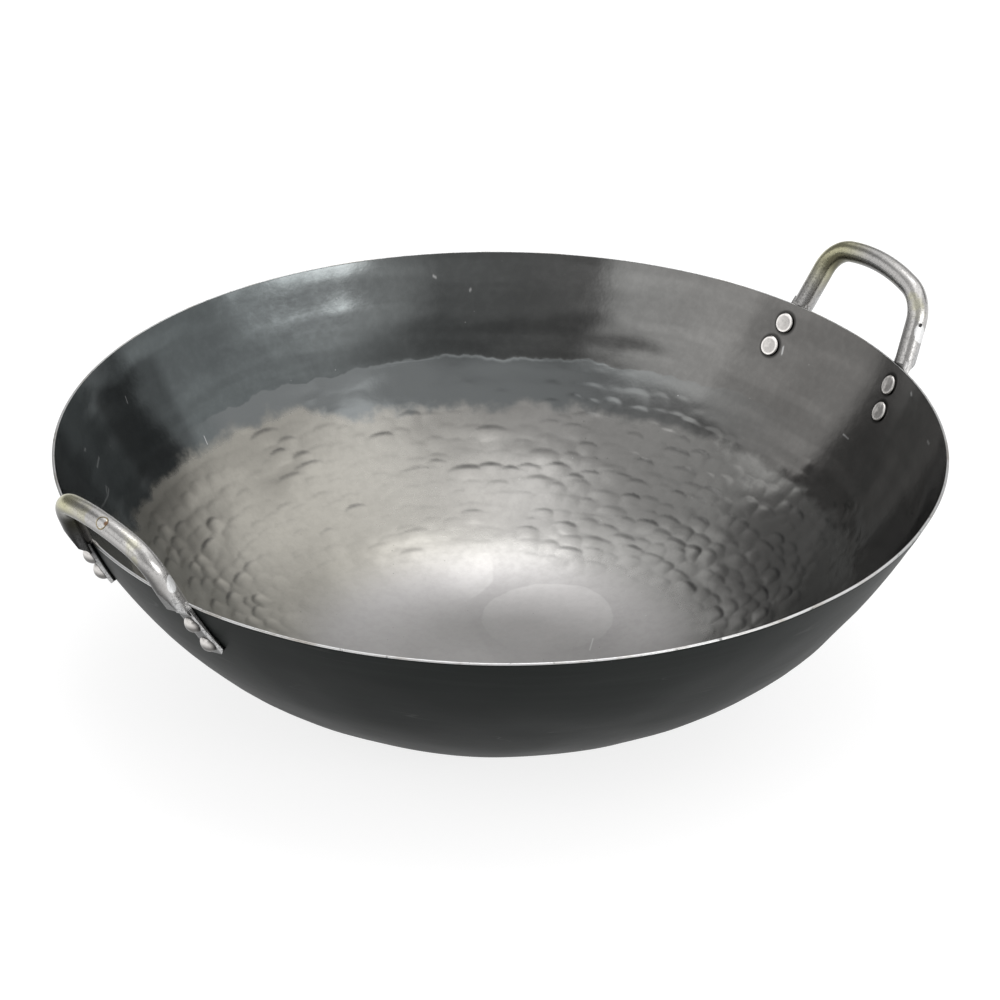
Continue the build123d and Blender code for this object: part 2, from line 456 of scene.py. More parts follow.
# The hardest blows: angle round the pan in degrees and radius in mm
hardest_places = ((99, 198), (96, 196), (93, 191), (94, 185), (90, 184), (89, 178), (126, 172), (133, 188))


def strike(angle, radius, depth):
    """Make the blow nearest to a place as deep as asked, with a strong painted shade at its edge."""
    ring = np.abs(ring_radii - radius).argmin()
    blow = int(round(angle / (2 * pi) * ring_counts[ring] - ring_phases[ring])) % ring_counts[ring]
    blow_depth[ring, blow] = depth
    blow_shade[ring, blow] = hard_blow_shade * rng.uniform(*struck_shade_shares)


for angle in line_degrees:
    strike(radians(angle), line_radius, line_blow * rng.uniform(*line_shares))
for angle, radius in hardest_places:
    strike(radians(angle), radius * mm, hardest_blow)
print("blows placed one by one:", len(line_degrees) + len(hardest_places))

# %% [markdown]
# A dish is longer round the pan than outward, and bent like a crescent. Its outer edge is
# steep, so it ends within a third of a ring's pitch, while its inner edge runs out slowly.
# Going through every blow for every point would be slow. So each point only asks the blows
# next to it: one ring below, its own and one above, and three blows on each.

# %% Work out how deep the dishes are
outer_edge_share = 0.33
inner_edge_share = 0.95
crescent_share = 0.32
# Where along a dish's outer edge its painted shade lies, how far it reaches, and how much shows under a newer
# dish
shade_middle_share = 0.6
shade_reach_share = 0.7
older_shade_share = 0.4
neighbours = (-1, 0, 1)


def dish_depth(way, angle):
    """Depth of the deepest dish at places on the wall, and the painted shade at its edge."""
    nearest_ring = np.round((way - mark_start) / mark_ring_pitch).astype(int)
    deepest, dish_shade = np.zeros_like(way), np.zeros_like(way)
    for ring_step in neighbours:
        ring = nearest_ring + ring_step
        real = (ring >= 0) & (ring < len(rings))
        ring = np.clip(ring, 0, len(rings) - 1)
        count = ring_counts[ring]
        turn = angle / (2 * pi) * count - ring_phases[ring]
        nearest = np.round(turn).astype(int)
        for step in neighbours:
            blow = (nearest + step) % count
            along = turn - nearest - step - blow_along[ring, blow]
            out = (way - rings[ring]) / mark_ring_pitch - blow_out[ring, blow]
            aside = (along / blow_width[ring, blow]) ** 2
            out = out + crescent_share * aside
            edge = np.where(out > 0, outer_edge_share, inner_edge_share)
            dish = blow_depth[ring, blow] * np.clip(1 - aside, 0, None) ** 2 * real
            dish = dish * np.clip(1 - (out / edge) ** 2, 0, None)
            # Painted shade along the dish's steep outer edge
            left = 1 - np.abs(out / outer_edge_share - shade_middle_share) / shade_reach_share
            left = blow_shade[ring, blow] * np.clip(left, 0, None) * np.clip(1 - aside, 0, None) * real
            on_top = np.maximum(left, older_shade_share * dish_shade)
            covered = np.maximum(older_shade_share * left, dish_shade)
            dish_shade = np.where(dish >= deepest, on_top, covered)
            deepest = np.maximum(deepest, dish)
    return deepest, dish_shade


sample_angles = np.linspace(0, 2 * pi, wall_samples)
dishes = [dish_depth(np.full(wall_samples, way), sample_angles)[0].max() for way in rings]
print("deepest dish along the rings in mm:", round(max(dishes) / mm, 2))

# %% [markdown]
# ## Waves and buckles
#
# Above the marks the sheet is smooth but never true. A few slow waves, chosen with the same
# fixed seed, make the reflections wander as they do on the real wall. They die out at the
# handles, where the tabs and the rivet heads were squeezed flat on it, and at the bottom,
# which has to stand. Where the press gathered the sheet, to the left of the far rim, it has
# small upright buckles. All of this relief goes inward only, so that the pan doesn't grow.

# %% Work out the waves
wave_height = 0.5 * mm
wave_slope = 0.011
# How many waves go round the pan, how many mm one takes up the wall, and how strong it is
wave_kinds = (
    (2, 230, 1.0), (3, 90, 1.0), (4, 60, 1.0), (5, 120, 1.0), (6, 45, 1.0), (8, 70, 1.0), (11, 110, 1.0),
    (14, 80, 1.0), (19, 65, 1.0), (25, 50, 1.0), (1, 19, 1.5), (2, 13, 1.5), (3, 26, 1.6), (5, 10, 1.0),
)
wave_draws = rng.random((len(wave_kinds), 3)) * 2 * pi
slant_share = 0.7
# Places outward and sideways at which the calm stretch of a handle begins and is full
handle_start = (170 * mm, 200 * mm)
handle_sides = (96 * mm, 66 * mm)
# Ways from the middle at which the waves begin and are full
wave_start = (90 * mm, 170 * mm)
rim_calm_share = 0.6
rim_calm_reach = 25 * mm


def slow_waves(way, angle):
    """Gentle unevenness of the sheet, inward only, and none where the handles sit."""
    total = np.zeros_like(way)
    for (order, length, strength), (phase_round, phase_out, bend) in zip(wave_kinds, wave_draws):
        along = order * angle + phase_round + np.sin(2 * angle + bend)
        across = 2 * pi * way / (length * mm) + phase_out + slant_share * np.sin(3 * angle + bend)
        total += strength * length * mm / (2 * pi) * wave_slope * np.cos(along) * np.cos(across)
    x, y = wall_at(way)[0] * np.cos(angle), wall_at(way)[0] * np.sin(angle)
    handle = faded(np.abs(x), *handle_start) * faded(np.abs(y), *handle_sides)
    here = (1 - handle) * faded(way, *wave_start)
    here *= 1 - rim_calm_share * faded(way, wall_length - rim_calm_reach, wall_length)
    return (wave_height + np.clip(total, -wave_height, wave_height)) * here


print("waves:", len(wave_kinds), "highest in mm:", 2 * wave_height / mm)

# %% Work out the buckles
buckle_height = 0.12 * mm
buckle_middle = radians(83)
buckle_spread = radians(22)
buckle_full_share = 0.3
buckle_counts = (55, 83)
buckle_lean = 14
buckle_low = way_to(216 * mm)
buckle_rise = 14 * mm
buckle_calm_share = 0.75
buckle_calm_reach = 7 * mm


def buckles(way, angle):
    """Small upright folds under the far rim, inward only."""
    aside = np.abs(angle - buckle_middle) / buckle_spread
    here = faded(aside, 1.0, buckle_full_share) * faded(way, buckle_low, buckle_low + buckle_rise)
    here *= 1 - buckle_calm_share * faded(way, wall_length - buckle_calm_reach, wall_length)
    lean = buckle_lean * way / wall_length
    first, second = (np.cos(count * angle + lean) for count in buckle_counts)
    return buckle_height * here * (2 + first + second) / 4


print("folds to a full round:", buckle_counts, "height in mm:", round(buckle_height / mm, 2))

# %% [markdown]
# ## Forging the mesh
#
# The grid runs from the middle of the inside, up the inner face, over the cut rim and down the
# outer face. Rings lie close together where the marks are and further apart where the wall is
# smooth. One more lies just under the rim, or smooth shading would draw the rim's bright edge
# down the wall. Each ring gets the finish of its zone: the inside, the bare rim or the outside.
# Subdividing a coarse bowl would be quicker to write, but it would round the sharp edge of
# every dish.

# %% Space the rings of the grid
spokes = 1000
inside_step = 2.6 * mm
marked_step = 0.9 * mm
outside_step = 8.0 * mm
first_ring = 4 * mm
marks_margin_low = 8 * mm
marks_margin_high = 5 * mm
rim_break = 0.3 * mm
rim_margin = 0.6 * mm
outer_margin = 2 * mm
spoke_angles = 2 * pi * np.arange(spokes) / spokes
spoke_angles = np.where(spoke_angles > pi, spoke_angles - 2 * pi, spoke_angles)
spoke_directions = np.column_stack([np.cos(spoke_angles), np.sin(spoke_angles)])


def ring_ways():
    """Ways along the inner face at which the grid has its rings."""
    first, last = mark_start - marks_margin_low, mark_end + marks_margin_high
    centre = np.arange(first_ring, first, inside_step)
    marked = np.arange(first, last, marked_step)
    upper = np.arange(last + marked_step, wall_length - 2 * rim_margin, inside_step)
    return np.concatenate([centre, marked, upper, [wall_length - rim_margin]])


print("rings inside:", len(ring_ways()), "points on each:", spokes)

# %% Make the forged bowl
inside, rim, outside = 0, 1, 2


def forge_bowl():
    """The whole bowl as one closed mesh, with its three zones of finish."""
    points, zones, dish_shade = [], [], []

    def add_ring(way, inward, zone):
        way = np.full(spokes, way)
        radius, height, slope = wall_at(way)
        depth = inward + slow_waves(way, spoke_angles) + buckles(way, spoke_angles)
        dish, painted_dish_shade = dish_depth(way, spoke_angles)
        if zone == inside:
            depth -= dish
        dish_shade.append(painted_dish_shade * (zone == inside))
        radius = radius - depth * np.sin(slope)
        height = height + depth * np.cos(slope)
        points.append(np.column_stack([radius[:, None] * spoke_directions, height]))
        zones.append(zone)

    for way in ring_ways():
        add_ring(way, sheet, inside)
    add_ring(wall_length - rim_break, sheet, rim)
    add_ring(wall_length, sheet - rim_break, rim)
    add_ring(wall_length, rim_break, rim)
    add_ring(wall_length - rim_break, 0.0, outside)
    for way in np.arange(wall_length - outer_margin, outside_step, -outside_step):
        add_ring(way, 0.0, outside)
    points = np.concatenate([[[0, 0, sheet]], np.concatenate(points), [[0, 0, 0]]])
    faces, finishes = ring_faces(zones)
    mesh = bpy.data.meshes.new("forged_bowl")
    mesh.from_pydata(points.tolist(), [], faces)
    mesh.polygons.foreach_set("material_index", finishes)
    mesh.shade_smooth()
    # The painted shade of the dish edges is kept on the mesh for the finish to read
    kept = mesh.attributes.new("painted_dish_shade", "FLOAT", "POINT")
    kept.data.foreach_set("value", np.concatenate([[0.0], *dish_shade, [0.0]]))
    bowl = bpy.data.objects.new("forged_bowl", mesh)
    bpy.context.scene.collection.objects.link(bowl)
    return bowl


def ring_faces(zones):
    """Faces between the rings, and a fan at each end, with the zone of each face."""
    spoke = np.arange(spokes)
    ahead = (spoke + 1) % spokes
    last_point = len(zones) * spokes + 1
    last_ring = last_point - spokes
    faces = [(0, 1 + a, 1 + b) for a, b in zip(spoke, ahead)]
    finishes = [inside] * spokes
    for ring, zone in enumerate(zones[:-1]):
        low, high = 1 + ring * spokes, 1 + (ring + 1) * spokes
        faces += np.stack([low + spoke, high + spoke, high + ahead, low + ahead], axis=1).tolist()
        finishes += [zone] * spokes
    faces += [(last_point, last_ring + b, last_ring + a) for a, b in zip(spoke, ahead)]
    finishes += [outside] * spokes
    return faces, finishes


bowl = forge_bowl()
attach(bowl, "root")
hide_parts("bowl")
print("faces in the bowl:", len(bowl.data.polygons))

# %% [markdown]
# ## Layers for worn metal
#
# Metal is told by its wear: specks, thin lines, darker and lighter patches, and a relief too
# fine to model. Each of these is the same few nodes every time, so they join the helper here.
# Relief comes in layers as well: each bump takes the normal of the one under it.

# %% A finish for metal
class MetalFinish(Finish):
    """A finish that also has sums, distances, specks, lines, shades and fine relief."""

    def total(self, *values):
        """Several values added up."""
        result = values[0]
        for value in values[1:]:
            result = self.math("ADD", result, value)
        return result

    def joined(self, x, y, z=0.0):
        """A place made of three values."""
        node = self.tree.nodes.new("ShaderNodeCombineXYZ")
        for socket, value in zip(node.inputs, (x, y, z)):
            self.plug(socket, value)
        return node.outputs[0]

    def away(self, point=(0.0, 0.0, 0.0), place=None):
        """Distance of a place from a point."""
        node = self.tree.nodes.new("ShaderNodeVectorMath")
        node.operation = "DISTANCE"
        self.plug(node.inputs[0], place or self.place)
        self.plug(node.inputs[1], point)
        return node.outputs["Value"]

    def scaled(self, value, low, high):
        """Stretch a value that runs from 0 to 1 so that it runs from low to high."""
        node = self.tree.nodes.new("ShaderNodeMapRange")
        self.plug(node.inputs["Value"], value)
        self.plug(node.inputs["To Min"], low)
        self.plug(node.inputs["To Max"], high)
        return node.outputs["Result"]

    def line(self, value, middle, reach):
        """A soft line: 1 where the value is at the middle, 0 beyond a reach from it."""
        gap = self.math("ABSOLUTE", self.math("SUBTRACT", value, middle))
        return self.between(gap, reach, 0.0)

    def specks(self, size, radius, patch, start, full):
        """Round specks in patches: none below the start of the patches' noise, all above the full."""
        node = self.tree.nodes.new("ShaderNodeTexVoronoi")
        self.plug(node.inputs["Vector"], self.place)
        node.inputs["Scale"].default_value = 1 / size
        speck = self.between(node.outputs["Distance"], radius / size, 0.0)
        return self.product(speck, self.between(self.noise(patch), start, full))

    def shaded(self, colour, share, level):
        """Darken or lighten a colour to a level, by a share."""
        return self.mix(share, colour, self.mix(1.0, colour, grey(level), "MULTIPLY"))

    def dappled(self, colour, *layers):
        """Shade a colour by patterns, each with its start, where it is full, and its level."""
        for pattern, start, full, level in layers:
            colour = self.shaded(colour, self.between(pattern, start, full), level)
        return colour

    def bump(self, height, depth, under=None):
        """Tiny relief of a depth in metres, laid over any relief under it."""
        node = self.tree.nodes.new("ShaderNodeBump")
        node.inputs["Distance"].default_value = depth
        self.plug(node.inputs["Height"], height)
        if under:
            self.plug(node.inputs["Normal"], under)
        return node.outputs["Normal"]


print("layers for metal:", ", ".join(name for name in vars(MetalFinish) if name[0] != "_"))

# %% [markdown]
# ## Places round the pan
#
# Everything that was done to the bowl, the pressing, the hammering and the wiping, went round.
# Noise taken from plain places would look like clouds in a block of stone. So the bowl's
# finishes measure a place by its radius and by which way round it lies. The rivets come in
# mirrored fours, and a folded place, without its signs, serves all four at once.

# %% A finish for the bowl
round_reach = 180 * mm


class PanFinish(MetalFinish):
    """A finish that also knows how far out and which way round a place is."""

    def __init__(self, block):
        super().__init__(block)
        x, y, z = self.axes()
        self.plan = self.joined(x, y)
        self.radius = self.away(place=self.plan)
        self.cosine = self.math("DIVIDE", x, self.radius)
        self.sine = self.math("DIVIDE", y, self.radius)
        self.folded = self.joined(self.math("ABSOLUTE", x), self.math("ABSOLUTE", y), z)

    def around(self, out, along):
        """Places stretched round the pan, for patches so wide outward and so long around."""
        stretch = round_reach / along
        return self.joined(
            self.math("DIVIDE", self.radius, out),
            self.math("MULTIPLY", self.cosine, stretch),
            self.math("MULTIPLY", self.sine, stretch),
        )

    def side(self, angle, reach, soft):
        """1 within a reach of an angle round the pan, all in degrees, with a soft end."""
        facing = self.total(
            self.math("MULTIPLY", self.cosine, cos(radians(angle))),
            self.math("MULTIPLY", self.sine, sin(radians(angle))),
        )
        return self.between(facing, cos(radians(reach + soft)), cos(radians(reach - soft)))

    def wandering(self, value, amount, size=1.0, place=None):
        """A value that wanders up and down by an amount."""
        shift = self.noise(size, detail=4.0, rough=0.55, place=place)
        return self.math("ADD", value, self.scaled(shift, -amount, amount))


print("places round the pan are measured at mm:", round_reach / mm)

# %% [markdown]
# ## Inside: dark oxide above, worked steel below
#
# The upper wall keeps its mill skin: a thin, glossy, blue-grey oxide, which browns to the
# right. Below it the hammer has worked the steel to a brighter, softer, slightly warm grey.
# The border is ragged, with a pale film where the oxide ran. The bottom is smooth and palest.
#
# Both are metal with no paint, so both are fully metallic, and the colour is what the metal
# reflects. We begin with what both share: the two sides of the pan, the patterns, and the
# border between them.

# %% Find the border of oxide and worked steel
worked_edge = 191 * mm
left_edge_rise = 9 * mm
film_edge = 207 * mm
# Sides of the pan: the angle round it, how far it reaches and how soft its end is, in degrees
left_side = (143, 70, 40)
right_side = (-36, 62, 34)
risen_side = (120, 36, 8)


class InnerFinish(PanFinish):
    """A finish that also knows the inside's sides, patterns and borders."""

    def __init__(self, block):
        super().__init__(block)
        self.left = self.side(*left_side)
        self.right = self.side(*right_side)
        self.cloud = self.noise(42 * mm, detail=4.0, rough=0.6)
        self.mottle = self.noise(4.5 * mm, detail=5.0, rough=0.68)
        self.streaks = self.noise(detail=4.0, rough=0.65, place=self.around(2.4 * mm, 60 * mm))
        ragged = self.wandering(self.radius, 7 * mm, place=self.around(9 * mm, 14 * mm))
        ragged = self.math("SUBTRACT", ragged, self.product(self.side(*risen_side), left_edge_rise))
        self.worked = self.between(ragged, worked_edge + 1.5 * mm, worked_edge - 4 * mm)
        self.wavy = self.wandering(self.radius, 6.5 * mm, place=self.around(60 * mm, 34 * mm))


print("worked up to a radius in mm:", round(worked_edge / mm), "film from mm:", round(film_edge / mm))

# %% [markdown]
# The oxide is shaded by large clouds, a fine mottle and bands round the pan. Three things break
# it up on the real wall: a darker arch under the far rim, the pale film, and a dark reflection
# at the far left, which ends just below the rim. That dark patch is a painted reflection.
# The film is thin there and missing at the right.

# %% Mix the oxide
oxide_blue = (0.106, 0.118, 0.120, 1)
oxide_grey = (0.122, 0.124, 0.122, 1)
oxide_brown = (0.131, 0.127, 0.122, 1)
film_grey = (0.170, 0.180, 0.182, 1)
arch_top = 220 * mm
arch_side = (55, 17, 6)
# The painted dark reflection at the far left: its top radius and its side of the pan
dark_reflection_top = 233 * mm
dark_reflection_side = (117, 8, 1.5)
thin_film_side = (130, 26, 4)
thin_film_share = 0.2


def oxide_skin(paint):
    """Glossy dark oxide with its clouds and bands, its arch, its film and a painted dark reflection."""
    bands = paint.noise(detail=2.0, place=paint.around(7 * mm, 80 * mm))
    oxide = paint.mix(paint.right, paint.mix(paint.left, oxide_grey, oxide_blue), oxide_brown)
    oxide = paint.dappled(
        oxide, (paint.cloud, 0.35, 0.7, 0.86), (paint.mottle, 0.4, 0.65, 1.1), (bands, 0.44, 0.64, 1.18)
    )
    arch = paint.wandering(paint.radius, 7 * mm, place=paint.around(30 * mm, 60 * mm))
    arch = paint.between(arch, arch_top + 2 * mm, arch_top - 2 * mm)
    oxide = paint.shaded(oxide, paint.product(arch, paint.side(*arch_side)), level=0.68)
    film = paint.between(paint.wavy, film_edge + 0.6 * mm, film_edge)
    film = paint.product(film, paint.math("SUBTRACT", 1.0, paint.right))
    film = paint.product(film, paint.scaled(paint.side(*thin_film_side), 1.0, thin_film_share))
    oxide = paint.mix(film, oxide, film_grey)
    # Painted reflection: a dark patch at the far left that ends just below the rim
    dark_reflection = paint.wandering(paint.radius, 9 * mm, place=paint.around(40 * mm, 30 * mm))
    dark_reflection = paint.product(paint.side(*dark_reflection_side), paint.between(dark_reflection, dark_reflection_top, dark_reflection_top - 3 * mm))
    return paint.shaded(oxide, dark_reflection, level=0.6)


print("arch under the far rim up to mm:", round(arch_top / mm))

# %% [markdown]
# The worked steel is yellowish at the left and dull at the right. Two pale patches with a
# clear edge at the bottom are painted reflections. The painted shade at the edge of the
# dishes was kept on the mesh as a value for each point, so the finish only reads it.

# %% Mix the worked steel
steel_yellow = (0.305, 0.293, 0.262, 1)
steel_grey = (0.325, 0.318, 0.307, 1)
steel_dull = (0.262, 0.259, 0.250, 1)
steel_pale = (0.362, 0.352, 0.349, 1)
# Colour of the painted shade at the dishes' edges
dish_shade_black = grey(0.06)
bottom_fade = (125 * mm, 85 * mm)
# The painted reflections, pale patches, in mm: a wandering round, and the place and reach within which it
# shows
painted_reflections = (
    {"middle": (52, 26, 0), "radius": 35, "soft": 1.2, "wander": 5, "size": 34, "seen_at": (74, 48, 5),
     "seen_reach": (74, 40), "level": 1.15},
    {"middle": (28, 106, 0), "radius": 38, "soft": 2, "wander": 4, "size": 30, "seen_at": (50, 76, 5),
     "seen_reach": (34, 12), "level": 1.16},
)


def painted_reflection(paint, colour, middle, radius, soft, wander, size, seen_at, seen_reach, level):
    """A painted reflection: lighten a wandering round, on the side where it is seen."""
    reach = paint.wandering(paint.away(Vector(middle) * mm), wander * mm, size * mm)
    patch = paint.between(reach, (radius + soft) * mm, radius * mm)
    far, near = (value * mm for value in seen_reach)
    seen = paint.between(paint.away(Vector(seen_at) * mm), far, near)
    return paint.shaded(colour, paint.product(patch, seen), level)


def worked_steel(paint):
    """Hammered and polished steel, with painted reflections and painted shade at the dishes' edges."""
    steel = paint.mix(paint.right, paint.mix(paint.left, steel_grey, steel_yellow), steel_dull)
    steel = paint.mix(paint.between(paint.radius, *bottom_fade), steel, steel_pale)
    steel = paint.dappled(steel, (paint.mottle, 0.42, 0.62, 0.95), (paint.cloud, 0.4, 0.75, 0.92))
    # Painted reflections: pale patches at the bottom
    for patch in painted_reflections:
        steel = painted_reflection(paint, steel, **patch)
    # Painted shade at the dishes' steep edges, read from the mesh
    painted_dish_shade = paint.tree.nodes.new("ShaderNodeAttribute")
    painted_dish_shade.attribute_name = "painted_dish_shade"
    dish_shade = paint.product(painted_dish_shade.outputs["Fac"], paint.scaled(paint.mottle, 0.4, 1.3))
    return paint.mix(dish_shade, steel, dish_shade_black)


print("wiped patches:", len(painted_reflections))

# %% [markdown]
# Small marks make the pan look used: scratches, pale specks and dark pits. Two more are
# painted light: a bright line where the film ends at the far side, which is a painted
# reflection, and painted shade round the rivet heads. A scratch could be a thin mesh, but it
# has no height worth modelling. It is drawn as the distance from a straight stretch, seen from above.

# %% Helpers for small marks
# Radii at which the painted shade round a rivet head begins and is full
head_shade_radii = (8.2 * mm, 6.6 * mm)


def scratch(paint, start, end, width):
    """A thin straight mark between two places, seen from above."""
    start, end = (Vector((x * mm, y * mm, 0.0)) for x, y in (start, end))
    span = end - start
    offset, share, reached, gap = (paint.tree.nodes.new("ShaderNodeVectorMath") for _ in range(4))
    offset.operation, share.operation = "SUBTRACT", "DOT_PRODUCT"
    reached.operation, gap.operation = "SCALE", "DISTANCE"
    paint.plug(offset.inputs[0], paint.plan)
    paint.plug(offset.inputs[1], start)
    paint.plug(share.inputs[0], offset.outputs[0])
    paint.plug(share.inputs[1], span / span.length_squared)
    along = paint.math("MINIMUM", paint.math("MAXIMUM", share.outputs["Value"], 0.0), 1.0)
    paint.plug(reached.inputs[0], span)
    paint.plug(reached.inputs["Scale"], along)
    paint.plug(gap.inputs[0], offset.outputs[0])
    paint.plug(gap.inputs[1], reached.outputs[0])
    return paint.between(gap.outputs["Value"], width * mm, 0.0)


def head_shade_rings(paint):
    """Painted shade on the wall round the inner rivet heads."""
    rings = 0.0
    for place in ("upper", "lower"):
        low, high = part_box("rivet_right_back_" + place)
        middle = [(a + b) / 2 for a, b in zip(low, high)]
        ring = paint.between(paint.away(middle, paint.folded), *head_shade_radii)
        rings = paint.math("MAXIMUM", rings, ring)
    return rings


print("radius of the dirt round a head in mm:", round(head_shade_radii[0] / mm, 1))

# %% Add the small marks
# Scratches that catch the light: two ends seen from above and a width, all in mm
scratches = (
    ((223, 40.5), (221.5, 39.5), 0.9),
    ((211, -29), (210, -35), 0.5),
    ((178, -155), (172, -158), 0.7),
    ((51, -14), (60, -5), 0.6),
    ((-148, 164), (-154, 157), 0.6),
    ((-170, 130), (-156, 144), 0.5),
    ((-156, 144), (-152, 149), 0.5),
    ((-152, 149), (-153.5, 149.5), 0.5),
    ((-153.5, 149.5), (-156, 145), 0.5),
    ((-158, 162), (-160, 160), 0.6),
    ((-106, 200), (-106, 198), 0.5),
    ((-59, 193), (-59, 190), 0.5),
    ((226, -68), (225, -70), 0.6),
    ((205, -109), (203, -113), 0.6),
    ((121, 193), (121.5, 193), 0.9),
    ((106, 207), (107, 206), 0.8),
)
bright_metal = grey(0.55)
bright_share = 0.75
film_edge_reflection_side = (53, 17, 6)
film_edge_reflection_reach = 1.1 * mm


def marked(paint, colour):
    """The film edge's painted reflection, scratches and specks, dark pits, and painted shade round the heads.
    """
    # Painted reflection: a bright line along the film's edge at the far side
    film_edge_reflection = paint.product(paint.line(paint.wavy, film_edge, film_edge_reflection_reach), paint.side(*film_edge_reflection_side))
    film_edge_reflection = paint.product(film_edge_reflection, paint.between(paint.streaks, 0.4, 0.6))
    colour = paint.shaded(colour, film_edge_reflection, level=1.7)
    bright = paint.specks(size=9 * mm, radius=0.5 * mm, patch=30 * mm, start=0.5, full=0.62)
    for start, end, width in scratches:
        bright = paint.math("MAXIMUM", bright, scratch(paint, start, end, width))
    colour = paint.mix(paint.product(bright, bright_share), colour, bright_metal)
    pits = paint.specks(size=6 * mm, radius=0.55 * mm, patch=22 * mm, start=0.52, full=0.6)
    colour = paint.shaded(colour, paint.product(pits, paint.worked), level=0.45)
    # Painted shade round the inner rivet heads
    return paint.shaded(colour, head_shade_rings(paint), level=0.3)


print("scratches:", len(scratches))

# %% [markdown]
# How sharp a reflection is tells oxide from worked steel even more than their colour does. The
# oxide is the smoothest. The worked steel is rougher, most of all at the left and at the
# bottom. The relief is a grain, a slow unevenness and fine streaks round the pan.

# %% Put the inside together
oxide_roughness = 0.15
worked_roughness = 0.24
rougher = 0.06
rough_bottom = (135 * mm, 95 * mm)


def inner_roughness(paint):
    """Low on the oxide, higher on the worked steel."""
    return paint.total(
        paint.scaled(paint.worked, oxide_roughness, worked_roughness),
        paint.product(paint.worked, paint.left, rougher),
        paint.scaled(paint.between(paint.radius, *rough_bottom), 0.0, rougher),
        paint.scaled(paint.mottle, -0.04, 0.04),
        paint.scaled(paint.streaks, -0.015, 0.015),
    )


def inner_steel():
    """Inside: glossy dark oxide above, hammered and polished steel below."""
    paint = InnerFinish.paint("inner_steel")
    colour = marked(paint, paint.mix(paint.worked, oxide_skin(paint), worked_steel(paint)))
    grain = paint.bump(paint.noise(1.6 * mm, detail=2.0), depth=0.012 * mm)
    relief = paint.bump(paint.noise(9 * mm), depth=0.06 * mm, under=grain)
    relief = paint.bump(paint.streaks, depth=0.006 * mm, under=relief)
    roughness = inner_roughness(paint)
    paint.surface(Base_Color=colour, Metallic=1.0, Roughness=roughness, Normal=relief)
    return paint.block


bowl.data.materials.append(inner_steel())
print("finishes on the bowl:", len(bowl.data.materials))

# %% [markdown]
# ## The cut rim
#
# The rim was sheared and lightly broken with a file, so it is the one bare, bright part of the
# sheet. It has dark nicks where it was knocked and a thin brown bloom here and there. A plain
# bright metal would look like chrome wire, so nicks, bloom and file strokes go over it.

# %% Mix the rim's finish
rim_bare = grey(0.62)
rim_bloom = (0.36, 0.33, 0.29, 1)
bloom_share = 0.7


def rim_steel():
    """Bare cut edge with nicks, bloom and file strokes."""
    paint = PanFinish.paint("rim_steel")
    strokes = paint.noise(rough=0.7, place=paint.around(0.6 * mm, 1.2 * mm))
    bloom = paint.between(paint.noise(26 * mm, detail=4.0, rough=0.6), 0.48, 0.68)
    nicks = paint.noise(5 * mm, detail=4.0, rough=0.7)
    colour = paint.mix(paint.product(bloom, bloom_share), rim_bare, rim_bloom)
    colour = paint.dappled(colour, (nicks, 0.6, 0.7, 0.35))
    colour = paint.shaded(colour, strokes, level=0.8)
    roughness = paint.scaled(strokes, 0.22, 0.48)
    relief = paint.bump(strokes, depth=0.02 * mm)
    paint.surface(Base_Color=colour, Metallic=1.0, Roughness=roughness, Normal=relief)
    return paint.block


bowl.data.materials.append(rim_steel())
print("finishes on the bowl:", len(bowl.data.materials))

# %% [markdown]
# ## Outside: black mill scale
#
# The outside was never worked. It keeps an even green-black scale with a satin gloss, a few
# pale specks, and faint lines round it from the press. Scale is not a metal but a thin oxide,
# so this finish is not metallic: a very dark base under a weak gloss.

# %% Mix the outer finish
scale_dark = (0.0125, 0.0152, 0.0146, 1)
scale_light = (0.0195, 0.0215, 0.0205, 1)
scale_marks = grey(0.2)
marks_share = 0.5
hair_width = 0.005
hair_share = 0.3


def outer_steel():
    """Green-black scale with a satin gloss, faint press lines, hairs and a few pale specks."""
    paint = PanFinish.paint("outer_steel")
    cloud = paint.noise(50 * mm, detail=5.0, rough=0.6)
    rings = paint.noise(detail=4.0, rough=0.65, place=paint.around(3 * mm, 90 * mm))
    colour = paint.dappled(paint.mix(cloud, scale_dark, scale_light), (rings, 0.4, 0.8, 1.35))
    specks = paint.specks(size=13 * mm, radius=0.55 * mm, patch=40 * mm, start=0.5, full=0.64)
    hairs = paint.line(paint.noise(detail=2.0, place=paint.around(12 * mm, 160 * mm)), 0.5, hair_width)
    hairs = paint.product(hairs, paint.between(paint.noise(30 * mm), 0.52, 0.66), hair_share)
    marks = paint.product(paint.math("MAXIMUM", specks, hairs), marks_share)
    colour = paint.mix(marks, colour, scale_marks)
    roughness = paint.total(paint.scaled(cloud, 0.38, 0.5), paint.scaled(rings, -0.05, 0.05))
    grain = paint.bump(paint.noise(0.8 * mm, rough=0.6), depth=0.01 * mm)
    relief = paint.bump(paint.noise(14 * mm, detail=2.0), depth=0.08 * mm, under=grain)
    paint.surface(
        Base_Color=colour,
        Metallic=0.0,
        Roughness=roughness,
        Specular_IOR_Level=0.05,
        Normal=relief,
    )
    return paint.block


bowl.data.materials.append(outer_steel())
print("finishes on the bowl:", len(bowl.data.materials))

# %% [markdown]
# ## The handles' tube
#
# The handles are mild steel tube, drawn, bent cold and zinc plated. The plating is a soft
# silver-grey with dark speckle, and it turned yellow-green in the far bends. The sides of the
# legs and the underside of the loops get a painted shade.
#
# The measured loops already have the right shape, so they keep their meshes and only get this
# finish. Both loops are alike, so most places are given once, with the outward distance taken
# without its sign.

